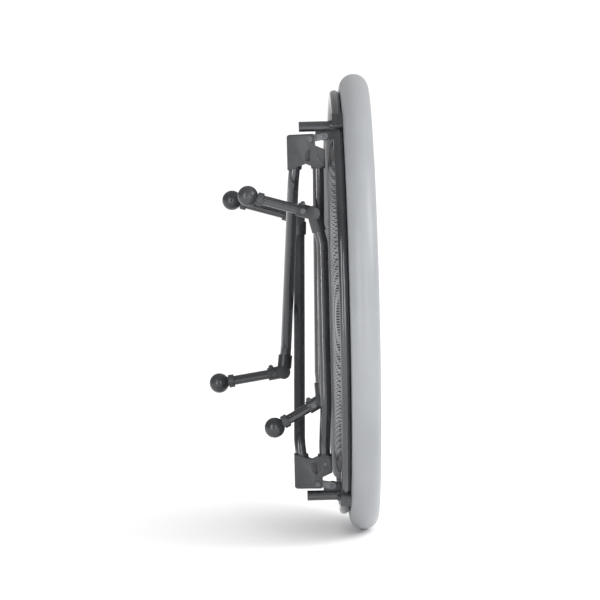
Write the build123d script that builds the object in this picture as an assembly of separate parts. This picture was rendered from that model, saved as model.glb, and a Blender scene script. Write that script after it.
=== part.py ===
from build123d import *
import os

# Round padded folding chair, folded flat and standing on its rim.
# +X is the seat's front, Y runs across the chair's back from the front legs (-Y) to the rear legs (+Y),
# and Z is the chair's left-right direction, with the left side up. Lengths are in millimetres.
# The origin lies under the middle of the whole folded chair, on the surface that its rim stands on.

# Seat
RIM_RADIUS = 455.0  # outside radius of the padded rim
RIM_THICK = 57.0
RIM_WIDTH = 72.0  # radial width of the rim bolster
CUSHION_BACK = -8.0  # back face of the cushion, from the back face of the rim
CUSHION_EDGE = 46.0
CUSHION_MIDDLE = 26.0  # the cushion is dished by the difference
SOFT_GAP = 0.6

# Seat ring and sling
RING_RADIUS = 414.0
RING_TUBE_R = 9.5
RING_WALL = 1.5
RING_X = -10.5
HEM_INNER = 352.6
HEM_THICK = 4.0
BACK_PAD_RADIUS = 352.0
BACK_PAD_REAR = -32.5
BACK_PAD_FRONT = -9.0

# Brackets on the ring, one for each leg frame
POST_Z = 363.0
POST_R = 10.0
POST_WALL = 2.0
CLAMP_LENGTH = 46.0
CLAMP_WIDTH = 34.0
CLAMP_DEPTH = 21.0
BOLT_OUT = 12.5  # bolts from the post's axis, across and along the ring
BOLT_ALONG = 17.0
POST_TIP = -86.0
POST_ROOT = -21.5
LINK_PIVOT = (-36.0, 344.0)  # X and Z of the pin through the bracket's web
HUB_PIVOT = (-66.0, 339.0)  # X and Z of the pin that the leg frame folds on
PIN_R = 3.0
PIN_CLEARANCE = 0.05
WEB_HALF = 4.0
LINK_THICK = 4.0
LINK_R = 6.5

# Leg frames
LEG_R = 11.0
LEG_WALL = 1.6
CHEEK_INNER = 12.0
CHEEK_OUTER = 16.0
FOOT_TUBE_R = 9.5
BALL_R = 20.0
COLLAR_R = 13.0
BEND = 45.0  # radius of the legs' bends
FOOT_PIN_R = 3.5
SLEEVE_LENGTH = 33.0
POCKET_FLOOR = 7.0
RIVET_R = 2.5
SOCKET_PLAY = 0.02  # radial play of a tube in its cast socket

POST_Y = -((RING_RADIUS**2 - POST_Z**2) ** 0.5)
# Half of the folded depth, from the rear ball foot to the front of the rim, places the origin.
DEEPEST_BALL_X = -253.0
BACK_X = -(DEEPEST_BALL_X - BALL_R + RIM_THICK) / 2

PLACE = Pos(BACK_X, 0, RIM_RADIUS)
os.makedirs("parts", exist_ok=True)


def save(node, *solids):
    """Write one node, moved from the seat's own centre to the part's origin."""
    placed = [PLACE * solid for piece in solids for solid in piece.solids()]
    export_step(placed[0] if len(placed) == 1 else Compound(children=placed), f"parts/{node}.step")


def turned(profile):
    """Revolve a radius-and-X profile, drawn on XY as (radius, X), about the seat's own X axis."""
    flat = revolve(Plane.XY * profile, Axis.Y)
    return Rot(0, 0, -90) * flat


def pin_along_y(x, y, z, radius, length):
    return Pos(x, y, z) * Rot(90, 0, 0) * Cylinder(radius, length)


def rod(start, end, radius):
    """A round bar between two points."""
    start, end = Vector(*start), Vector(*end)
    return Plane(origin=start, z_dir=end - start) * Cylinder(
        radius, (end - start).length, align=(Align.CENTER, Align.CENTER, Align.MIN)
    )


def bent_bar(points, radii, radius):
    """A round bar along straight runs joined by arcs."""
    path = FilletPolyline(*points, radius=radii)
    return sweep(Plane(origin=points[0], z_dir=path % 0) * Circle(radius), path=path)


def bent_tube(points, radii, radius, wall):
    return bent_bar(points, radii, radius) - bent_bar(points, radii, radius - wall)


def side_plate(outline, y_low, y_high):
    """A plate parallel to XZ, from an outline of (X, Z) points."""
    face = Plane.XZ * make_face(Polyline(*outline, close=True))
    return Pos(0, y_high, 0) * extrude(face, y_high - y_low)


def lug(start, end, radius, y_low, y_high):
    """A flat bar with round ends about two (X, Z) points."""
    middle = ((start[0] + end[0]) / 2, (start[1] + end[1]) / 2)
    run = Vector(end[0] - start[0], end[1] - start[1])
    slot = SlotCenterToCenter(run.length, 2 * radius)
    angle = Vector(1, 0).get_signed_angle(run, Vector(0, 0, 1))
    face = Plane.XZ * Pos(*middle) * Rot(0, 0, angle) * slot
    return Pos(0, y_high, 0) * extrude(face, y_high - y_low)


def at_side(side, shape):
    """The left side is modelled at +Z and the right side is its mirror image."""
    return shape if side > 0 else mirror(shape, Plane.XY)


def clamp_block(length, width, depth):
    """A block astride the ring where the post stands, long along the ring."""
    along_ring = Vector(0, POST_Z, -POST_Y)
    place = Plane(origin=(RING_X, POST_Y, POST_Z), z_dir=(1, 0, 0), x_dir=along_ring)
    return place * Box(length, width, depth)


# Seat: a padded rim, a dished cushion inside it, a mesh-covered pad behind, and the sling's hem round that
def make_seat():
    rim_mid = RIM_RADIUS - RIM_WIDTH / 2
    rim_section = Pos(rim_mid, RIM_THICK / 2) * RectangleRounded(RIM_WIDTH, RIM_THICK, RIM_THICK / 2 - 0.5)
    save("rim_bolster", turned(rim_section))

    cushion_r = RIM_RADIUS - RIM_WIDTH - SOFT_GAP
    back_r = BACK_PAD_RADIUS
    dish = ThreePointArc((0, CUSHION_MIDDLE), (cushion_r * 0.55, CUSHION_MIDDLE + 5), (cushion_r - 8, CUSHION_EDGE))
    outline = dish + Polyline(
        (cushion_r - 8, CUSHION_EDGE),
        (cushion_r, CUSHION_EDGE - 8),
        (cushion_r, 4),
        (back_r, CUSHION_BACK),
        (0, CUSHION_BACK),
        (0, CUSHION_MIDDLE),
    )
    save("seat_cushion", turned(make_face(outline)))

    back_pad = make_face(
        ThreePointArc((0, BACK_PAD_REAR), (170, BACK_PAD_REAR + 0.3), (338, BACK_PAD_REAR + 2))
        + Polyline(
            (338, BACK_PAD_REAR + 2),
            (BACK_PAD_RADIUS - 3, BACK_PAD_REAR + 6),
            (BACK_PAD_RADIUS, BACK_PAD_REAR + 12),
            (BACK_PAD_RADIUS, BACK_PAD_FRONT),
            (0, BACK_PAD_FRONT),
            (0, BACK_PAD_REAR),
        )
    )
    save("mesh_back_pad", turned(back_pad))
    hem_width = RING_RADIUS - RING_TUBE_R - HEM_INNER - SOFT_GAP
    hem = turned(Pos(HEM_INNER + hem_width / 2, RING_X) * Rectangle(hem_width, HEM_THICK))
    for side in (1, -1):
        hem -= at_side(side, clamp_block(CLAMP_LENGTH + 3, CLAMP_WIDTH + 3, 40))
    save("sling_hem", hem)


# Seat ring: two half circles of tube that butt together on plugs at the left and right ends
def make_ring():
    section = Pos(RING_RADIUS, RING_X) * (Circle(RING_TUBE_R) - Circle(RING_TUBE_R - RING_WALL))
    ring = turned(section)
    half_box = Box(200, 2 * RING_RADIUS, 4 * RING_RADIUS)
    save("ring_tube_front", ring & Pos(0, -RING_RADIUS - 0.1, 0) * half_box)
    save("ring_tube_rear", ring & Pos(0, RING_RADIUS + 0.1, 0) * half_box)
    core = turned(Pos(RING_RADIUS, RING_X) * Circle(RING_TUBE_R - RING_WALL))
    save("ring_plugs", *[core & Pos(0, 0, side * RING_RADIUS) * Box(80, 90, 80) for side in (1, -1)])


# Bracket: a saddle clamped round the ring, a post square to it, a web below and two links to the hub
def make_bracket(name, side):
    ring_bar = turned(Pos(RING_RADIUS, RING_X) * Circle(RING_TUBE_R))
    here = (POST_Y, POST_Z)
    along_ring = Vector(0, POST_Z, -POST_Y).normalized()
    outward = Vector(0, POST_Y, POST_Z).normalized()
    block = clamp_block(CLAMP_LENGTH, CLAMP_WIDTH, CLAMP_DEPTH)
    block = fillet(block.edges().filter_by(Axis.X), 5)
    collar = Pos(-24, *here) * Rot(0, 90, 0) * Cylinder(POST_R + 1.4, 7)
    web = side_plate(
        [(-19, POST_Z - 6), (-54, POST_Z - 6), (-54, POST_Z - 14), (-43, POST_Z - 27), (-34, POST_Z - 28), (-17, POST_Z - 22)],
        POST_Y - WEB_HALF,
        POST_Y + WEB_HALF,
    )
    link_hole = pin_along_y(LINK_PIVOT[0], POST_Y, LINK_PIVOT[1], PIN_R, 60)
    post_bar = rod((POST_ROOT, *here), (POST_TIP, *here), POST_R)
    clamp_top = (block & Pos(RING_X - 20, *here) * Box(40, 90, 90)) + collar + web
    clamp_top = clamp_top - ring_bar - post_bar - link_hole
    cap = (block & Pos(RING_X + 20.2, *here) * Box(40, 90, 90)) - ring_bar
    bolts = []
    for end in (-1, 1):
        place = Vector(0, *here) + outward * BOLT_OUT * end - along_ring * BOLT_ALONG * end
        bolts.append(rod((RING_X - 14, place.Y, place.Z), (RING_X + 8.5, place.Y, place.Z), 2.5))
        bolts[-1] += rod((RING_X - 15.5, place.Y, place.Z), (RING_X - 10.5, place.Y, place.Z), 4.5)
    for bolt in bolts:
        clamp_top -= bolt
        cap -= bolt
    post = post_bar - rod((POST_ROOT - 2, *here), (POST_TIP - 1, *here), POST_R - POST_WALL)
    plug = rod((POST_TIP + 18, *here), (POST_TIP, *here), POST_R - POST_WALL)
    plug -= rod((POST_TIP + 14, *here), (POST_TIP - 1, *here), POST_R - POST_WALL - 2.5)
    save(f"{name}_clamp", at_side(side, clamp_top))
    save(f"{name}_clamp_cap", at_side(side, cap))
    save(f"{name}_clamp_bolts", *[at_side(side, bolt) for bolt in bolts])
    save(f"{name}_post", at_side(side, post))
    save(f"{name}_post_plug", at_side(side, plug))

    hub_hole = pin_along_y(HUB_PIVOT[0], POST_Y, HUB_PIVOT[1], PIN_R, 60)
    links = []
    for near in (-1, 1):
        edges = sorted((POST_Y + near * (WEB_HALF + 0.5), POST_Y + near * (WEB_HALF + 0.5 + LINK_THICK)))
        links.append(at_side(side, lug(LINK_PIVOT, HUB_PIVOT, LINK_R, *edges) - link_hole - hub_hole))
    save(f"{name}_links", *links)
    link_pin = pin_along_y(LINK_PIVOT[0], POST_Y, LINK_PIVOT[1], PIN_R, 2 * (WEB_HALF + LINK_THICK + 0.5))
    for near in (-1, 1):
        head_y = POST_Y + near * (WEB_HALF + LINK_THICK + 1.6)
        link_pin += pin_along_y(LINK_PIVOT[0], head_y, LINK_PIVOT[1], PIN_R + 1.8, 2)
    save(f"{name}_link_pin", at_side(side, link_pin))
    hub_pin = pin_along_y(HUB_PIVOT[0], POST_Y, HUB_PIVOT[1], PIN_R, 2 * (CHEEK_OUTER + 0.4))
    for near in (-1, 1):
        head_y = POST_Y + near * (CHEEK_OUTER + 1.4)
        hub_pin += pin_along_y(HUB_PIVOT[0], head_y, HUB_PIVOT[1], PIN_R + 2.5, 2)
    save(f"{name}_hub_pin", at_side(side, hub_pin))


# Hub: a cast knuckle with a saddle that swings over the post, and two sockets for the legs.
# Both hubs are the same casting, turned over, so it is drawn on the left and mirrored.
def make_hub():
    px, pz = HUB_PIVOT
    saddle = [(-44, -26), (-44, 5), (-40, 8), (8, 9), (11, 2), (11, -26)]
    core = [(-44, -22), (-11, -22), (-5, -14), (12, -14), (30, -22), (30, -54), (14, -58), (-8, -48), (-44, -60)]
    spine = [(-44, -26), (-44, 5), (-40, 8), (-40, -26)]
    pocket = [(-10, -26), (0, -20), (0, -42), (-10, -42)]
    channel = [(-40, -22), (-40, 30), (30, 30), (30, -12), (-6, -12), (-11, -22)]

    def slab(outline, low, high):
        return side_plate([(px + x, pz + z) for x, z in outline], POST_Y + low, POST_Y + high)

    hub = slab(core, -CHEEK_OUTER, CHEEK_OUTER) + slab(spine, -CHEEK_OUTER, CHEEK_OUTER)
    hub += slab(saddle, -CHEEK_OUTER, -CHEEK_INNER) + slab(saddle, CHEEK_INNER, CHEEK_OUTER)
    for start, ahead in SOCKETS:
        hub += rod(start, start + ahead * SLEEVE_LENGTH, LEG_R + 3)
    hub -= slab(pocket, -CHEEK_OUTER - 1, -POCKET_FLOOR) + slab(pocket, POCKET_FLOOR, CHEEK_OUTER + 1)
    hub -= slab(channel, -CHEEK_INNER, CHEEK_INNER)
    hub -= pin_along_y(px, POST_Y, pz, PIN_R + PIN_CLEARANCE, 60)
    rivets = []
    for start, ahead in SOCKETS:
        hub -= rod(start, start + ahead * 60, LEG_R + SOCKET_PLAY)
        place = start + ahead * 14
        rivets.append(pin_along_y(*place, RIVET_R, 2 * CHEEK_OUTER + 1.6))
    for rivet in rivets:
        hub -= rivet
    return hub, rivets


# Foot: a cast knuckle on the leg's end, a short tube held in it by a pin, a collar and a ball
def make_foot(name, leg, joint, ball):
    joint_v, ball_v, end_v = Vector(*joint), Vector(*ball), Vector(*leg[-1])
    out = (ball_v - joint_v).normalized()
    back = (Vector(*leg[-2]) - end_v).normalized()
    knuckle = pin_along_y(*joint, FOOT_TUBE_R + 4.1, 30)
    knuckle += rod(joint, joint_v + out * 32, FOOT_TUBE_R + 3.5)
    knuckle += rod(end_v - back * 2, end_v + back * 24, LEG_R + 3)
    knuckle += rod(joint, end_v + back * 4, LEG_R + 1.6)
    ridge = joint_v + out * 24 + out.cross(Vector(0, 1, 0)) * (13 if out.cross(Vector(0, 1, 0)).Z > 0 else -13)
    knuckle += pin_along_y(*ridge, 5, 14)
    knuckle -= bent_bar(leg, BEND, LEG_R + SOCKET_PLAY)
    knuckle -= rod(joint_v + out * 8, ball, FOOT_TUBE_R + SOCKET_PLAY)
    pin = pin_along_y(*(joint_v + out * 20), FOOT_PIN_R, 31)
    for near in (-1, 1):
        head = joint_v + out * 20 + Vector(0, near * 16.2, 0)
        pin += pin_along_y(*head, 5.5, 3)
    knuckle -= pin
    tube_end = ball_v - out * (BALL_R * 0.45)
    tube = rod(joint_v + out * 8, tube_end, FOOT_TUBE_R) - rod(joint_v, ball_v, FOOT_TUBE_R - 1.5)
    tube -= pin
    collar_at = ball_v - out * (BALL_R + 2)
    collar = rod(collar_at - out * 9, collar_at + out * 3, COLLAR_R)
    collar = collar - rod(joint, ball, FOOT_TUBE_R) - Pos(*ball) * Sphere(BALL_R)
    ball_body = Pos(*ball) * Sphere(BALL_R) - rod(joint, tube_end, FOOT_TUBE_R)
    save(f"{name}_foot_knuckle", knuckle)
    save(f"{name}_foot_pin", pin)
    save(f"{name}_foot_tube", tube)
    save(f"{name}_foot_collar", collar)
    save(f"{name}_ball_foot", ball_body)


def make_leg(name, leg, cuts):
    tube = bent_tube(leg, BEND, LEG_R, LEG_WALL)
    for cut in cuts:
        tube -= cut
    save(f"{name}_leg", tube)


# The two frames are each other's mirror image but for the spacing that lets them pass as they fold:
# the left frame's legs stand further out in X, and the right frame's are wider apart in Y.
LEFT_REAR_Y = 165.0
RIGHT_REAR_Y = 209.0
RIGHT_FRONT_Y = POST_Y - 44

LEGS = {
    "left_rear": ((-92, POST_Y, 314), (-99, POST_Y + 4, 259), (-116, LEFT_REAR_Y, -108), (-120, LEFT_REAR_Y, -144)),
    "left_front": ((-50, POST_Y, 314), (-50, POST_Y, 259), (-55, POST_Y, -120), (-52, POST_Y, -164)),
    "right_rear": ((-92, POST_Y, -314), (-99, POST_Y + 4, -259), (-83, RIGHT_REAR_Y, 112), (-82, RIGHT_REAR_Y, 146)),
    "right_front": (
        (-50, POST_Y, -314),
        (-50, POST_Y, -259),
        (-46, RIGHT_FRONT_Y, -177),
        (-46, RIGHT_FRONT_Y, 138),
        (-58, RIGHT_FRONT_Y, 184),
    ),
}
FEET = {
    "left_rear": ((-122, LEFT_REAR_Y, -154), (DEEPEST_BALL_X, LEFT_REAR_Y, -174)),
    "left_front": ((-52, POST_Y, -174), (-147, POST_Y, -227)),
    "right_rear": ((-84, RIGHT_REAR_Y, 156), (-218, RIGHT_REAR_Y, 195)),
    "right_front": ((-63, RIGHT_FRONT_Y, 196), (-189, RIGHT_FRONT_Y, 233)),
}

# Each socket is its mouth and the direction that the leg leaves in.
SOCKETS = []
for place in ("front", "rear"):
    mouth, bend = (Vector(*point) for point in LEGS[f"left_{place}"][:2])
    SOCKETS.append((mouth, (bend - mouth).normalized()))

make_seat()
make_ring()
left_hub, left_rivets = make_hub()
for frame_name, frame_side in (("left", 1), ("right", -1)):
    make_bracket(frame_name, frame_side)
    rivets = [at_side(frame_side, rivet) for rivet in left_rivets]
    save(f"{frame_name}_hub", at_side(frame_side, left_hub))
    save(f"{frame_name}_hub_rivets", *rivets)
    for place in ("front", "rear"):
        leg_name = f"{frame_name}_{place}"
        make_leg(leg_name, LEGS[leg_name], rivets)
        make_foot(leg_name, LEGS[leg_name], *FEET[leg_name])
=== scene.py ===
import math

import bmesh
import bpy
import numpy as np
from mathutils import Matrix, Vector


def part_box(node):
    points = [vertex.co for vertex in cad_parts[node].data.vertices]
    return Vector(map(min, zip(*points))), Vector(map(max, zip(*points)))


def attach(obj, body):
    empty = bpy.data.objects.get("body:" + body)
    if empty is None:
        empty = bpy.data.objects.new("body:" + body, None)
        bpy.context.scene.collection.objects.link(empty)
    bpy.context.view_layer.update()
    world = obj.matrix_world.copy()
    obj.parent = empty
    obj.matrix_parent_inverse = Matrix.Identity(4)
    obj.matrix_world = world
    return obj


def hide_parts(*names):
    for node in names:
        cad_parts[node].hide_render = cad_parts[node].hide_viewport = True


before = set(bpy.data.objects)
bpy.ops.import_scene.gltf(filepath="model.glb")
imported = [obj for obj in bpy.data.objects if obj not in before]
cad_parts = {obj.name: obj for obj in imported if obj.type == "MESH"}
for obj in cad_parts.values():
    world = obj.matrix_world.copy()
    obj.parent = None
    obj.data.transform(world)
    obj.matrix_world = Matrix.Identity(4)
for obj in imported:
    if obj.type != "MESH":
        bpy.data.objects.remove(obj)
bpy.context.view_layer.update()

scene = bpy.context.scene

# ---------------------------------------------------------------------------------------------
# Seat ring: two half circles of welded steel tube, 19 mm across, that butt together on plugs.
# The tube is powder coated dark grey with a fine orange-peel gloss, as are all the tubes.
# ---------------------------------------------------------------------------------------------
bolster_low, bolster_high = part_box("rim_bolster")
SEAT_BACK = bolster_low.x
SEAT_RADIUS = (bolster_high.z - bolster_low.z) / 2
SEAT_CENTRE = Vector((SEAT_BACK, 0, (bolster_high.z + bolster_low.z) / 2))
COAT_DARK = (0.020, 0.021, 0.024, 1)
COAT_LIGHT = (0.030, 0.032, 0.036, 1)


def mottle_group():
    """A shader group that blends two colours with cloudy noise, and gives a fine grain and a roughness."""
    group = bpy.data.node_groups.new("mottle_and_grain", "ShaderNodeTree")
    sockets = (
        ("Colour A", "INPUT", "NodeSocketColor"),
        ("Colour B", "INPUT", "NodeSocketColor"),
        ("Cloud Scale", "INPUT", "NodeSocketFloat"),
        ("Grain Scale", "INPUT", "NodeSocketFloat"),
        ("Rough Low", "INPUT", "NodeSocketFloat"),
        ("Rough High", "INPUT", "NodeSocketFloat"),
        ("Colour", "OUTPUT", "NodeSocketColor"),
        ("Roughness", "OUTPUT", "NodeSocketFloat"),
        ("Grain", "OUTPUT", "NodeSocketFloat"),
    )
    for name, way, kind in sockets:
        group.interface.new_socket(name=name, in_out=way, socket_type=kind)
    nodes, links = group.nodes, group.links
    given = nodes.new("NodeGroupInput")
    out = nodes.new("NodeGroupOutput")
    place = nodes.new("ShaderNodeTexCoord")
    cloud = nodes.new("ShaderNodeTexNoise")
    cloud.inputs["Detail"].default_value = 5
    grain = nodes.new("ShaderNodeTexNoise")
    grain.inputs["Detail"].default_value = 3
    ramp = nodes.new("ShaderNodeMapRange")
    ramp.inputs["From Min"].default_value = 0.35
    ramp.inputs["From Max"].default_value = 0.65
    mix = nodes.new("ShaderNodeMix")
    mix.data_type = "RGBA"
    rough = nodes.new("ShaderNodeMapRange")
    rough.inputs["From Min"].default_value = 0.3
    rough.inputs["From Max"].default_value = 0.7
    for noise, scale in ((cloud, "Cloud Scale"), (grain, "Grain Scale")):
        links.new(place.outputs["Object"], noise.inputs["Vector"])
        links.new(given.outputs[scale], noise.inputs["Scale"])
    links.new(cloud.outputs["Fac"], ramp.inputs["Value"])
    links.new(ramp.outputs["Result"], mix.inputs["Factor"])
    links.new(given.outputs["Colour A"], mix.inputs["A"])
    links.new(given.outputs["Colour B"], mix.inputs["B"])
    links.new(cloud.outputs["Fac"], rough.inputs["Value"])
    links.new(given.outputs["Rough Low"], rough.inputs["To Min"])
    links.new(given.outputs["Rough High"], rough.inputs["To Max"])
    links.new(mix.outputs["Result"], out.inputs["Colour"])
    links.new(rough.outputs["Result"], out.inputs["Roughness"])
    links.new(grain.outputs["Fac"], out.inputs["Grain"])
    return group


MOTTLE = mottle_group()


def mottled_material(name, dark, light, cloud, grain, rough, bump, metallic=0.0, coat=0.0, depth=0.0004):
    """A Principled material whose colour, roughness and bump all come from the mottle group."""
    material = bpy.data.materials.new(name)
    material.use_nodes = True
    nodes, links = material.node_tree.nodes, material.node_tree.links
    shader = nodes["Principled BSDF"]
    mottle = nodes.new("ShaderNodeGroup")
    mottle.node_tree = MOTTLE
    values = (dark, light, cloud, grain, rough[0], rough[1])
    for socket, value in zip(mottle.inputs, values):
        socket.default_value = value
    relief = nodes.new("ShaderNodeBump")
    relief.inputs["Strength"].default_value = bump
    relief.inputs["Distance"].default_value = depth
    links.new(mottle.outputs["Colour"], shader.inputs["Base Color"])
    links.new(mottle.outputs["Roughness"], shader.inputs["Roughness"])
    links.new(mottle.outputs["Grain"], relief.inputs["Height"])
    links.new(relief.outputs["Normal"], shader.inputs["Normal"])
    shader.inputs["Metallic"].default_value = metallic
    shader.inputs["Coat Weight"].default_value = coat
    shader.inputs["Coat Roughness"].default_value = 0.12
    return material


def finish_node(node, material):
    """Give a CAD node its material."""
    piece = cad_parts[node]
    piece.data.materials.clear()
    piece.data.materials.append(material)


tube_coat = mottled_material(
    "tube_powder_coat", COAT_DARK, COAT_LIGHT, cloud=9, grain=700, rough=(0.16, 0.24), bump=0.10, coat=0.6
)
for node in ("ring_tube_front", "ring_tube_rear"):
    finish_node(node, tube_coat)
NYLON_DARK = (0.030, 0.031, 0.034, 1)
NYLON_LIGHT = (0.046, 0.048, 0.052, 1)
plug_nylon = mottled_material(
    "moulded_nylon", NYLON_DARK, NYLON_LIGHT, cloud=14, grain=1500, rough=(0.42, 0.56), bump=0.3
)
finish_node("ring_plugs", plug_nylon)

# ---------------------------------------------------------------------------------------------
# Back pad: a thin foam pad covered in grey knitted spacer mesh with six-sided holes, behind the seat.
# A black woven tape joins it to the ring all round, and is notched where the two clamps stand.
# ---------------------------------------------------------------------------------------------
MESH_PITCH = 0.0052


def select_none():
    if bpy.context.object and bpy.context.object.mode != "OBJECT":
        bpy.ops.object.mode_set(mode="OBJECT")
    bpy.ops.object.select_all(action="DESELECT")


def spun(name, outline, steps, centre=SEAT_CENTRE, axis=(1, 0, 0), closed=False):
    """Turn an outline of points round an axis by the spin operator, and close its seam and poles."""
    select_none()
    bpy.ops.mesh.primitive_circle_add(vertices=len(outline), radius=0.01, fill_type="NOTHING")
    piece = bpy.context.object
    piece.name = name
    piece.data.name = name
    if not closed:
        bm = bmesh.new()
        bm.from_mesh(piece.data)
        bm.verts.ensure_lookup_table()
        last, first = bm.verts[-1], bm.verts[0]
        bmesh.ops.delete(bm, geom=[e for e in bm.edges if {last, first} == set(e.verts)], context="EDGES")
        bm.to_mesh(piece.data)
        bm.free()
    for vertex, point in zip(piece.data.vertices, outline):
        vertex.co = point
    bpy.ops.object.mode_set(mode="EDIT")
    bpy.ops.mesh.select_all(action="SELECT")
    bpy.ops.mesh.spin(steps=steps, angle=2 * math.pi, center=centre, axis=axis)
    bpy.ops.mesh.select_all(action="SELECT")
    bpy.ops.mesh.remove_doubles(threshold=0.00002)
    bpy.ops.mesh.normals_make_consistent(inside=False)
    bpy.ops.object.mode_set(mode="OBJECT")
    bpy.ops.object.shade_smooth_by_angle(angle=math.radians(40))
    return piece


def seat_outline(points):
    """Outline points of (radius, X from the back of the rim) as places above the seat's centre."""
    return [SEAT_CENTRE + Vector((x, 0, radius)) for radius, x in points]


def polar(piece):
    """Radius and angle of each vertex about the seat's centre, and its place as an array."""
    place = np.array([v.co for v in piece.data.vertices], float)
    y, z = place[:, 1] - SEAT_CENTRE.y, place[:, 2] - SEAT_CENTRE.z
    return place, np.hypot(y, z), np.arctan2(z, y)


def put_back(piece, place):
    piece.data.vertices.foreach_set("co", place.astype(np.float32).ravel())
    piece.data.update()


pad_low, pad_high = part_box("mesh_back_pad")
pad_radius = (pad_high.z - pad_low.z) / 2
pad_rear, pad_front = pad_low.x - SEAT_BACK, pad_high.x - SEAT_BACK
PAD_ROUND = 0.012  # radius of the pad's rounded rear edge
PAD_CROWN = 0.002  # how far the rear face falls away from its middle to its edge
rings = [(pad_radius - PAD_ROUND) * i / 40 for i in range(41)]
edge = []
for i in range(1, 9):
    turn = math.pi / 2 * i / 8
    edge_radius = pad_radius - PAD_ROUND + PAD_ROUND * math.sin(turn)
    edge.append((edge_radius, pad_rear + PAD_CROWN + PAD_ROUND - PAD_ROUND * math.cos(turn)))
rear_face = [(r, pad_rear + PAD_CROWN * (r / pad_radius) ** 2) for r in rings]
front_face = [(r, pad_front) for r in reversed(rings)]
pad_points = rear_face + edge + [(pad_radius, pad_front)] + front_face
back_pad = spun("mesh_back_pad_cover", seat_outline(pad_points), 180)


def mesh_material():
    """Spacer mesh: a hexagonal lattice of holes, painted near-black as shade inside them, between rounded
    knitted strands.
    """
    material = bpy.data.materials.new("spacer_mesh")
    material.use_nodes = True
    nodes, links = material.node_tree.nodes, material.node_tree.links
    shader = nodes["Principled BSDF"]
    where = nodes.new("ShaderNodeTexCoord")
    total = None
    for turn in (0, 120, 240):
        lean = math.radians(turn)
        wave_number = 2 * math.pi / (MESH_PITCH * math.sqrt(3) / 2)
        dot = nodes.new("ShaderNodeVectorMath")
        dot.operation = "DOT_PRODUCT"
        dot.inputs[1].default_value = (0, wave_number * math.cos(lean), wave_number * math.sin(lean))
        wave = nodes.new("ShaderNodeMath")
        wave.operation = "COSINE"
        links.new(where.outputs["Object"], dot.inputs[0])
        links.new(dot.outputs["Value"], wave.inputs[0])
        if total is None:
            total = wave
            continue
        add = nodes.new("ShaderNodeMath")
        add.operation = "ADD"
        links.new(total.outputs[0], add.inputs[0])
        links.new(wave.outputs[0], add.inputs[1])
        total = add
    hole = nodes.new("ShaderNodeMapRange")
    hole.interpolation_type = "SMOOTHSTEP"
    hole.inputs["From Min"].default_value = -0.2
    hole.inputs["From Max"].default_value = 1.4
    mottle = nodes.new("ShaderNodeGroup")
    mottle.node_tree = MOTTLE
    values = ((0.21, 0.215, 0.22, 1), (0.29, 0.295, 0.30, 1), 22, 1800, 0.78, 0.92)
    for socket, value in zip(mottle.inputs, values):
        socket.default_value = value
    # Painted shade: the holes are coloured near-black for the shade inside them.
    colour = nodes.new("ShaderNodeMix")
    colour.data_type = "RGBA"
    colour.inputs["B"].default_value = (0.022, 0.022, 0.024, 1)
    depth = nodes.new("ShaderNodeMath")
    depth.operation = "SUBTRACT"
    depth.inputs[0].default_value = 1
    relief = nodes.new("ShaderNodeBump")
    relief.inputs["Strength"].default_value = 0.9
    relief.inputs["Distance"].default_value = 0.0009
    links.new(total.outputs[0], hole.inputs["Value"])
    links.new(hole.outputs["Result"], colour.inputs["Factor"])
    links.new(mottle.outputs["Colour"], colour.inputs["A"])
    links.new(hole.outputs["Result"], depth.inputs[1])
    links.new(depth.outputs[0], relief.inputs["Height"])
    links.new(colour.outputs["Result"], shader.inputs["Base Color"])
    links.new(mottle.outputs["Roughness"], shader.inputs["Roughness"])
    links.new(relief.outputs["Normal"], shader.inputs["Normal"])
    return material


back_pad.data.materials.append(mesh_material())
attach(back_pad, "seat")
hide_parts("mesh_back_pad")


def woven_material(name, dark, light, pitch, rough, bump, sheen=0.0):
    """A plain weave: two crossing rows of threads, with cloudy colour from the mottle group."""
    material = bpy.data.materials.new(name)
    material.use_nodes = True
    nodes, links = material.node_tree.nodes, material.node_tree.links
    shader = nodes["Principled BSDF"]
    where = nodes.new("ShaderNodeTexCoord")
    rows = []
    for direction in ((0.7, 0.7, 0.2), (-0.2, 0.7, -0.7)):
        dot = nodes.new("ShaderNodeVectorMath")
        dot.operation = "DOT_PRODUCT"
        dot.inputs[1].default_value = Vector(direction).normalized() * (2 * math.pi / pitch)
        wave = nodes.new("ShaderNodeMath")
        wave.operation = "SINE"
        links.new(where.outputs["Object"], dot.inputs[0])
        links.new(dot.outputs["Value"], wave.inputs[0])
        rows.append(wave)
    weave = nodes.new("ShaderNodeMath")
    weave.operation = "MULTIPLY"
    links.new(rows[0].outputs[0], weave.inputs[0])
    links.new(rows[1].outputs[0], weave.inputs[1])
    mottle = nodes.new("ShaderNodeGroup")
    mottle.node_tree = MOTTLE
    for socket, value in zip(mottle.inputs, (dark, light, 6, 1400, rough[0], rough[1])):
        socket.default_value = value
    relief = nodes.new("ShaderNodeBump")
    relief.inputs["Strength"].default_value = bump
    relief.inputs["Distance"].default_value = 0.0003
    links.new(weave.outputs[0], relief.inputs["Height"])
    links.new(mottle.outputs["Colour"], shader.inputs["Base Color"])
    links.new(mottle.outputs["Roughness"], shader.inputs["Roughness"])
    links.new(relief.outputs["Normal"], shader.inputs["Normal"])
    shader.inputs["Sheen Weight"].default_value = sheen
    return material


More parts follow.
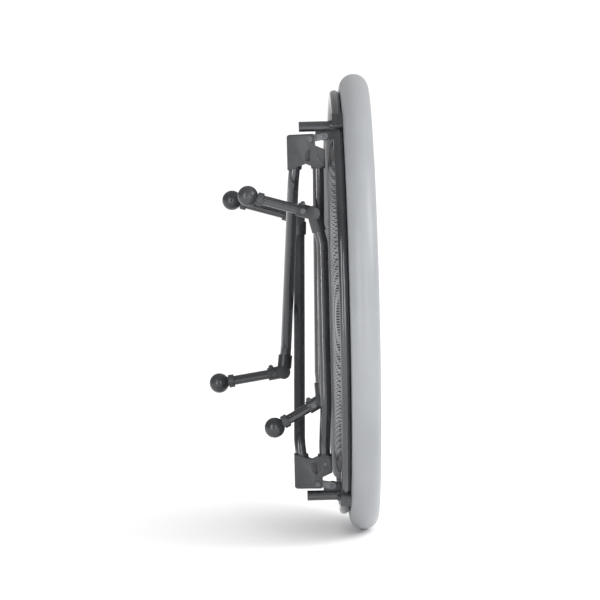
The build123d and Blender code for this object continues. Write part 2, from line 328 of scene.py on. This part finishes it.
TAPE_DARK = (0.012, 0.012, 0.013, 1)
TAPE_LIGHT = (0.022, 0.022, 0.024, 1)
tape_black = woven_material("binding_tape", TAPE_DARK, TAPE_LIGHT, pitch=0.0016, rough=(0.7, 0.85), bump=0.5)
hem_low, hem_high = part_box("sling_hem")
hem_outer = (hem_high.z - hem_low.z) / 2
HEM_GAP = 0.0006  # between the pad's edge and the tape
hem_inner = pad_radius + HEM_GAP
hem_x = (hem_low.x + hem_high.x) / 2 - SEAT_BACK
HEM_HALF = 0.0009  # half of the tape's thickness
across = [hem_inner + (hem_outer - hem_inner) * i / 12 for i in range(13)]
tape = [(r, hem_x - HEM_HALF) for r in across] + [(r, hem_x + HEM_HALF) for r in reversed(across)]
hem = spun("hem_tape", seat_outline(tape), 360, closed=True)
place, radius, angle = polar(hem)
NOTCH_RADIUS = 0.3945  # where the tape ends beside a clamp
NOTCH_HALF_ANGLE = 0.078
for side_name in ("left", "right"):
    clamp_low, clamp_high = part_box(f"{side_name}_clamp")
    clamp_at = (clamp_low + clamp_high) / 2 - SEAT_CENTRE
    bearing = math.atan2(clamp_at.z, clamp_at.y)
    beside = np.abs(angle - bearing) < NOTCH_HALF_ANGLE
    shrink = np.where(beside, (NOTCH_RADIUS - hem_inner) / (hem_outer - hem_inner), 1.0)
    wanted = hem_inner + (radius - hem_inner) * shrink
    place[:, 1] *= wanted / radius
    place[:, 2] = SEAT_CENTRE.z + (place[:, 2] - SEAT_CENTRE.z) * wanted / radius
put_back(hem, place)
hem.data.materials.append(tape_black)
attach(hem, "seat")
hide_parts("sling_hem")

# ---------------------------------------------------------------------------------------------
# Rim bolster: a foam roll in a satin light grey cover, sewn closed along its inner edge.
# The cover is smooth and tight, with soft puckers only beside the sewn inner edge.
# ---------------------------------------------------------------------------------------------
BOLSTER_HALF = (bolster_high.x - bolster_low.x) / 2
BOLSTER_FLAT = 0.006  # half of the straight stretch between the roll's inner and outer rounds
bolster_mid = SEAT_RADIUS - BOLSTER_HALF - BOLSTER_FLAT
outline = []
for i in range(48):
    turn = 2 * math.pi * i / 48
    flat = BOLSTER_FLAT if math.cos(turn) > 0 else -BOLSTER_FLAT
    across_roll = bolster_mid + flat + BOLSTER_HALF * math.cos(turn)
    outline.append((across_roll, BOLSTER_HALF + BOLSTER_HALF * math.sin(turn)))
bolster = spun("rim_bolster_cover", seat_outline(outline), 240, closed=True)
place, radius, angle = polar(bolster)
inward = np.clip((bolster_mid - radius) / BOLSTER_HALF, 0, 1) ** 3
pucker = np.sin(angle * 96) * 0.5 + np.sin(angle * 61 + 1.3) * 0.5
place[:, 0] += inward * pucker * 0.0007 * np.sign(place[:, 0] - SEAT_BACK - BOLSTER_HALF)
put_back(bolster, place)
COVER_DARK = (0.225, 0.234, 0.246, 1)
COVER_LIGHT = (0.248, 0.257, 0.269, 1)
cover_grey = woven_material(
    "satin_cover", COVER_DARK, COVER_LIGHT, pitch=0.0011, rough=(0.34, 0.44), bump=0.06, sheen=0.1
)
bolster.data.materials.append(cover_grey)
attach(bolster, "seat")
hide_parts("rim_bolster")

# ---------------------------------------------------------------------------------------------
# Seat cushion: a dished foam disc in the same cover, quilted by rings and spokes of stitching.
# Each field between the stitch lines swells a little, and the middle is drawn in.
# ---------------------------------------------------------------------------------------------
QUILT_SPOKES = 12
QUILT_RINGS = (0.0, 0.125, 0.25, 0.372)  # radii of the sewn rings, in metres
QUILT_DEPTH = 0.007
cushion_low, cushion_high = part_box("seat_cushion")
cushion_radius = (cushion_high.z - cushion_low.z) / 2
cushion_edge = cushion_high.x - SEAT_BACK
cushion_back = cushion_low.x - SEAT_BACK
CUSHION_DISH = 0.020
front = []
for i in range(91):
    radius_here = (cushion_radius - 0.006) * i / 90
    dish = CUSHION_DISH * (1 - (radius_here / cushion_radius) ** 2)
    front.append((radius_here, cushion_edge - 0.003 - dish))
side = [
    (cushion_radius - 0.001, cushion_edge - 0.010),
    (cushion_radius - 0.0005, 0.018),
    (cushion_radius - 0.004, 0.005),
]
back_radius = cushion_radius - 0.010
back = [(back_radius * (1 - i / 20), cushion_back + 0.001 + 0.008 * (1 - i / 20) ** 8) for i in range(21)]
cushion = spun("seat_cushion_cover", seat_outline(front + side + back), 240)
place, radius, angle = polar(cushion)
is_front = place[:, 0] > SEAT_BACK + 0.012
field_out = np.ones_like(radius)
for low, high in zip(QUILT_RINGS[:-1], QUILT_RINGS[1:]):
    inside = (radius >= low) & (radius < high)
    across = (radius - low) / (high - low)
    field_out[inside] = np.sin(np.pi * across[inside])
field_out[radius >= QUILT_RINGS[-1]] = 0
spokes = np.where(radius < QUILT_RINGS[1], 1.0, np.abs(np.sin(angle * QUILT_SPOKES / 2)))
swell = np.clip(field_out, 0, 1) ** 0.45 * np.clip(spokes, 0, 1) ** 0.35
place[:, 0] -= is_front * (1 - swell) * QUILT_DEPTH * (radius < QUILT_RINGS[-1] + 0.002)
creases = np.sin(angle * 150) * np.exp(-((radius - QUILT_RINGS[-1]) / 0.012) ** 2) * 0.0004
place[:, 0] += is_front * creases
put_back(cushion, place)
cushion.data.materials.append(cover_grey)
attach(cushion, "seat")
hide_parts("seat_cushion")

# ---------------------------------------------------------------------------------------------
# Piping: a cord wrapped in the cover, sewn into the seam between the cushion and the bolster.
# Its weave is finer than the cover's, and its grey is close to the cover's.
# ---------------------------------------------------------------------------------------------
PIPING_RADIUS = 0.0032
select_none()
bpy.ops.mesh.primitive_torus_add(
    location=SEAT_CENTRE + Vector((cushion_edge - 0.002, 0, 0)),
    rotation=(0, math.pi / 2, 0),
    major_radius=cushion_radius + 0.0006,
    minor_radius=PIPING_RADIUS,
    major_segments=240,
    minor_segments=14,
)
piping = bpy.context.object
piping.name = "seam_piping"
bpy.ops.object.transform_apply(location=True, rotation=True, scale=True)
bpy.ops.object.shade_smooth_by_angle(angle=math.radians(60))
PIPING_DARK = (0.22, 0.23, 0.24, 1)
PIPING_LIGHT = (0.27, 0.28, 0.29, 1)
piping_grey = woven_material(
    "piping_cover", PIPING_DARK, PIPING_LIGHT, pitch=0.0009, rough=(0.5, 0.6), bump=0.2
)
piping.data.materials.append(piping_grey)
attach(piping, "seat")

# ---------------------------------------------------------------------------------------------
# Brackets: on each side a split clamp grips the ring and holds a short tube post, square to it.
# Two pressed steel links hang the leg frame's hub from a rivet through the clamp's web.
# ---------------------------------------------------------------------------------------------
CAST_DARK = (0.020, 0.021, 0.023, 1)
CAST_LIGHT = (0.032, 0.034, 0.037, 1)
STEEL_DARK = (0.085, 0.088, 0.094, 1)
STEEL_LIGHT = (0.12, 0.125, 0.13, 1)
ZINC_DARK = (0.07, 0.073, 0.078, 1)
ZINC_LIGHT = (0.12, 0.124, 0.13, 1)
cast_grey = mottled_material(
    "cast_grey", CAST_DARK, CAST_LIGHT, cloud=18, grain=1300, rough=(0.28, 0.38), bump=0.25
)
link_steel = mottled_material(
    "link_steel", STEEL_DARK, STEEL_LIGHT, cloud=30, grain=900, rough=(0.28, 0.40), bump=0.15, metallic=0.6
)
zinc = mottled_material(
    "zinc_fastener", ZINC_DARK, ZINC_LIGHT, cloud=60, grain=1200, rough=(0.24, 0.36), bump=0.15, metallic=1.0
)


def softened(node, body, material, width):
    """A copy of a CAD node with its sharp edges rounded, as a casting's or a moulding's are."""
    select_none()
    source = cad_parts[node]
    piece = source.copy()
    piece.data = source.data.copy()
    piece.parent = None
    piece.matrix_world = Matrix.Identity(4)
    piece.name = piece.data.name = f"{node}_cast"
    scene.collection.objects.link(piece)
    bpy.context.view_layer.objects.active = piece
    piece.select_set(True)
    bpy.ops.object.mode_set(mode="EDIT")
    bpy.ops.mesh.select_all(action="SELECT")
    bpy.ops.mesh.remove_doubles(threshold=0.00001)
    bpy.ops.mesh.dissolve_limited(angle_limit=math.radians(2))
    bpy.ops.object.mode_set(mode="OBJECT")
    bevel = piece.modifiers.new("rounded_edges", "BEVEL")
    bevel.width = width
    bevel.segments = 3
    bevel.limit_method = "ANGLE"
    bevel.angle_limit = math.radians(40)
    bevel.harden_normals = False
    bpy.ops.object.modifier_apply(modifier=bevel.name)
    bpy.ops.object.shade_smooth_by_angle(angle=math.radians(35))
    piece.data.materials.clear()
    piece.data.materials.append(material)
    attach(piece, body)
    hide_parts(node)
    return piece


for side_name in ("left", "right"):
    softened(f"{side_name}_clamp", "seat", cast_grey, 0.0010)
    softened(f"{side_name}_clamp_cap", "seat", cast_grey, 0.0010)
    softened(f"{side_name}_links", "seat", link_steel, 0.0005)
    finish_node(f"{side_name}_post", tube_coat)
    finish_node(f"{side_name}_post_plug", plug_nylon)
    finish_node(f"{side_name}_clamp_bolts", zinc)
    finish_node(f"{side_name}_link_pin", zinc)
    finish_node(f"{side_name}_hub_pin", zinc)

# ---------------------------------------------------------------------------------------------
# Leg frames: a cast hub takes two bent tube legs, held in their sockets by rivets.
# The hub's open saddle swings over the post when the frame is folded out.
# ---------------------------------------------------------------------------------------------
for side_name in ("left", "right"):
    frame_body = f"{side_name}_leg_frame"
    softened(f"{side_name}_hub", frame_body, cast_grey, 0.0012)
    finish_node(f"{side_name}_hub_rivets", zinc)
    for end_name in ("front", "rear"):
        finish_node(f"{side_name}_{end_name}_leg", tube_coat)

# ---------------------------------------------------------------------------------------------
# Feet: a cast knuckle on each leg's end pins a short tube, which ends in a collar and a ball.
# The balls are moulded in satin rubber.
# ---------------------------------------------------------------------------------------------
RUBBER_DARK = (0.024, 0.025, 0.028, 1)
RUBBER_LIGHT = (0.034, 0.036, 0.039, 1)
ball_rubber = mottled_material(
    "ball_rubber", RUBBER_DARK, RUBBER_LIGHT, cloud=25, grain=2200, rough=(0.24, 0.34), bump=0.2
)
for side_name in ("left", "right"):
    frame_body = f"{side_name}_leg_frame"
    for end_name in ("front", "rear"):
        foot = f"{side_name}_{end_name}"
        softened(f"{foot}_foot_knuckle", frame_body, cast_grey, 0.0012)
        finish_node(f"{foot}_foot_pin", zinc)
        finish_node(f"{foot}_foot_tube", tube_coat)
        softened(f"{foot}_foot_collar", frame_body, plug_nylon, 0.0012)
        finish_node(f"{foot}_ball_foot", ball_rubber)

# ---------------------------------------------------------------------------------------------
# Stage: a plain pale floor, soft studio lights and the camera.
# The sky is brighter on the seat's side, and dimmer in reflections so that the tubes stay dark.
# ---------------------------------------------------------------------------------------------
scene.view_settings.view_transform = "Standard"
select_none()
bpy.ops.mesh.primitive_plane_add(size=400, location=(0, 0, -0.0005))
floor = bpy.context.object
floor.name = "studio_floor"
floor_white = bpy.data.materials.new("floor_white")
floor_white.use_nodes = True
floor_white.node_tree.nodes["Principled BSDF"].inputs["Base Color"].default_value = (0.96, 0.96, 0.965, 1)
floor_white.node_tree.nodes["Principled BSDF"].inputs["Roughness"].default_value = 0.9
floor.data.materials.append(floor_white)

world = bpy.data.worlds.new("studio")
world.use_nodes = True
sky_nodes, sky_links = world.node_tree.nodes, world.node_tree.links
sky_place = sky_nodes.new("ShaderNodeTexCoord")
sky_split = sky_nodes.new("ShaderNodeSeparateXYZ")
sky_across = sky_nodes.new("ShaderNodeMapRange")
sky_across.inputs["From Min"].default_value = -0.9
sky_across.inputs["From Max"].default_value = 0.9
sky_across.inputs["To Min"].default_value = 0.50
sky_across.inputs["To Max"].default_value = 1.85
sky_links.new(sky_place.outputs["Generated"], sky_split.inputs["Vector"])
sky_links.new(sky_split.outputs["X"], sky_across.inputs["Value"])
sky_path = sky_nodes.new("ShaderNodeLightPath")
sky_shine = sky_nodes.new("ShaderNodeMapRange")
sky_shine.inputs["To Min"].default_value = 1.0
sky_shine.inputs["To Max"].default_value = 0.35
sky_strength = sky_nodes.new("ShaderNodeMath")
sky_strength.operation = "MULTIPLY"
sky_links.new(sky_path.outputs["Is Glossy Ray"], sky_shine.inputs["Value"])
sky_links.new(sky_across.outputs["Result"], sky_strength.inputs[0])
sky_links.new(sky_shine.outputs["Result"], sky_strength.inputs[1])
sky_links.new(sky_strength.outputs[0], sky_nodes["Background"].inputs["Strength"])
sky_nodes["Background"].inputs["Color"].default_value = (1, 1, 1, 1)
scene.world = world

AIM = Vector((0, 0, 0.45))


def area_light(name, place, size, power):
    data = bpy.data.lights.new(name, "AREA")
    data.shape = "RECTANGLE"
    data.size, data.size_y = size
    data.energy = power
    light = bpy.data.objects.new(name, data)
    light.location = place
    light.rotation_euler = (AIM - Vector(place)).to_track_quat("-Z", "Y").to_euler()
    scene.collection.objects.link(light)


area_light("key_from_front_right", (2.2, -1.1, 1.9), (0.9, 1.4), 30)
area_light("strip_left", (-1.6, -2.2, 0.9), (0.16, 2.4), 34)
area_light("strip_front", (0.7, -3.0, 0.9), (0.12, 2.4), 22)

CAMERA_AZIMUTH = math.radians(-1.0)
CAMERA_ELEVATION = math.radians(5.0)
CAMERA_ROLL = math.radians(1.35)
CAMERA_DISTANCE = 10.0
VIEW_WIDTH = 1.2
target = Vector((0.020, 0, 0.461))
camera_data = bpy.data.cameras.new("camera")
camera_data.sensor_width = 36
camera_data.lens = 36 * CAMERA_DISTANCE / VIEW_WIDTH
camera = bpy.data.objects.new("camera", camera_data)
away = Vector(
    (
        math.sin(CAMERA_AZIMUTH) * math.cos(CAMERA_ELEVATION),
        -math.cos(CAMERA_AZIMUTH) * math.cos(CAMERA_ELEVATION),
        math.sin(CAMERA_ELEVATION),
    )
)
camera.location = target + away * CAMERA_DISTANCE
facing = (-away).to_track_quat("-Z", "Y").to_matrix() @ Matrix.Rotation(-CAMERA_ROLL, 3, "Z")
camera.rotation_euler = facing.to_euler()
scene.collection.objects.link(camera)
scene.camera = camera
